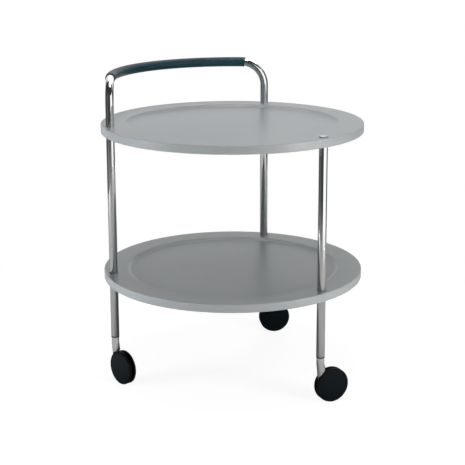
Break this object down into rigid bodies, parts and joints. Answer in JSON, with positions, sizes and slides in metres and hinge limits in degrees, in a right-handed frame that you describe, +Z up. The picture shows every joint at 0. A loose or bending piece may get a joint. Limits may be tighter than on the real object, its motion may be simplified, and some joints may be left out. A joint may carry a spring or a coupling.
{
  "type": "serving trolley",
  "caption": "Round tiered serving trolley with dished grey trays, chromed tube legs, a sleeved hoop handle and slim swivel castors.",
  "frame": {"origin": "on the floor, on the common vertical axis of the two round trays", "axes": "+Z up; seen from above, the front leg is at -45 degrees from +X, the rear leg at 75 and the left leg at 195, and the handle's middle is at 135"},
  "size_m": [0.5999, 0.6, 0.7156],
  "materials": {
    "tray_lacquer": "satin grey lacquer on board",
    "tube_chrome": "polished chrome plate on steel tube",
    "castor_chrome": "polished chrome plate on a casting",
    "plain_steel": "turned steel, zinc plated",
    "grip_sleeve": "smooth soft sleeve, dark blue-black",
    "socket_nylon": "moulded black nylon",
    "wheel_nylon": "moulded black nylon, satin",
    "tyre_rubber": "soft black tread"
  },
  "bodies": {
    "frame": {"upper_tray": "tray_lacquer", "lower_tray": "tray_lacquer", "hoop_tube": "tube_chrome", "front_leg": "tube_chrome", "hand_grip": "grip_sleeve", "cap_screw": "tube_chrome", "leg_plug": "plain_steel", "upper_tray_pins": "plain_steel", "lower_tray_pins": "plain_steel", "front_socket": "socket_nylon", "left_socket": "socket_nylon", "rear_socket": "socket_nylon"},
    "front_castor": {"front_castor_body": "castor_chrome", "front_swivel_pin": "plain_steel", "front_pin_ring": "plain_steel", "front_axle": "plain_steel"},
    "front_roller_a": {"front_wheel_a": "wheel_nylon", "front_tyre_a": "tyre_rubber"},
    "front_roller_b": {"front_wheel_b": "wheel_nylon", "front_tyre_b": "tyre_rubber"},
    "rear_castor": {"rear_castor_body": "castor_chrome", "rear_swivel_pin": "plain_steel", "rear_pin_ring": "plain_steel", "rear_axle": "plain_steel"},
    "rear_roller_a": {"rear_wheel_a": "wheel_nylon", "rear_tyre_a": "tyre_rubber"},
    "rear_roller_b": {"rear_wheel_b": "wheel_nylon", "rear_tyre_b": "tyre_rubber"},
    "left_castor": {"left_castor_body": "castor_chrome", "left_swivel_pin": "plain_steel", "left_pin_ring": "plain_steel", "left_axle": "plain_steel"},
    "left_roller_a": {"left_wheel_a": "wheel_nylon", "left_tyre_a": "tyre_rubber"},
    "left_roller_b": {"left_wheel_b": "wheel_nylon", "left_tyre_b": "tyre_rubber"}
  },
  "joints": [
    {"name": "front_swivel", "type": "hinge", "parent": "frame", "child": "front_castor", "pos_m": [0.1987, -0.1987, 0.1066], "axis": [0, 0, 1], "continuous": true},
    {"name": "front_roll_a", "type": "hinge", "parent": "front_castor", "child": "front_roller_a", "pos_m": [0.22393, -0.18655, 0.039], "axis": [-0.4337, 0.9011, 0], "continuous": true},
    {"name": "front_roll_b", "type": "hinge", "parent": "front_castor", "child": "front_roller_b", "pos_m": [0.22393, -0.18655, 0.039], "axis": [-0.4337, 0.9011, 0], "continuous": true},
    {"name": "rear_swivel", "type": "hinge", "parent": "frame", "child": "rear_castor", "pos_m": [0.07273, 0.27143, 0.1066], "axis": [0, 0, 1], "continuous": true},
    {"name": "rear_roll_a", "type": "hinge", "parent": "rear_castor", "child": "rear_roller_a", "pos_m": [0.10041, 0.27566, 0.039], "axis": [-0.1513, 0.9885, 0], "continuous": true},
    {"name": "rear_roll_b", "type": "hinge", "parent": "rear_castor", "child": "rear_roller_b", "pos_m": [0.10041, 0.27566, 0.039], "axis": [-0.1513, 0.9885, 0], "continuous": true},
    {"name": "left_swivel", "type": "hinge", "parent": "frame", "child": "left_castor", "pos_m": [-0.27143, -0.07273, 0.1066], "axis": [0, 0, 1], "continuous": true},
    {"name": "left_roll_a", "type": "hinge", "parent": "left_castor", "child": "left_roller_a", "pos_m": [-0.25244, -0.09331, 0.039], "axis": [0.7349, 0.6782, 0], "continuous": true},
    {"name": "left_roll_b", "type": "hinge", "parent": "left_castor", "child": "left_roller_b", "pos_m": [-0.25244, -0.09331, 0.039], "axis": [0.7349, 0.6782, 0], "continuous": true}
  ]
}
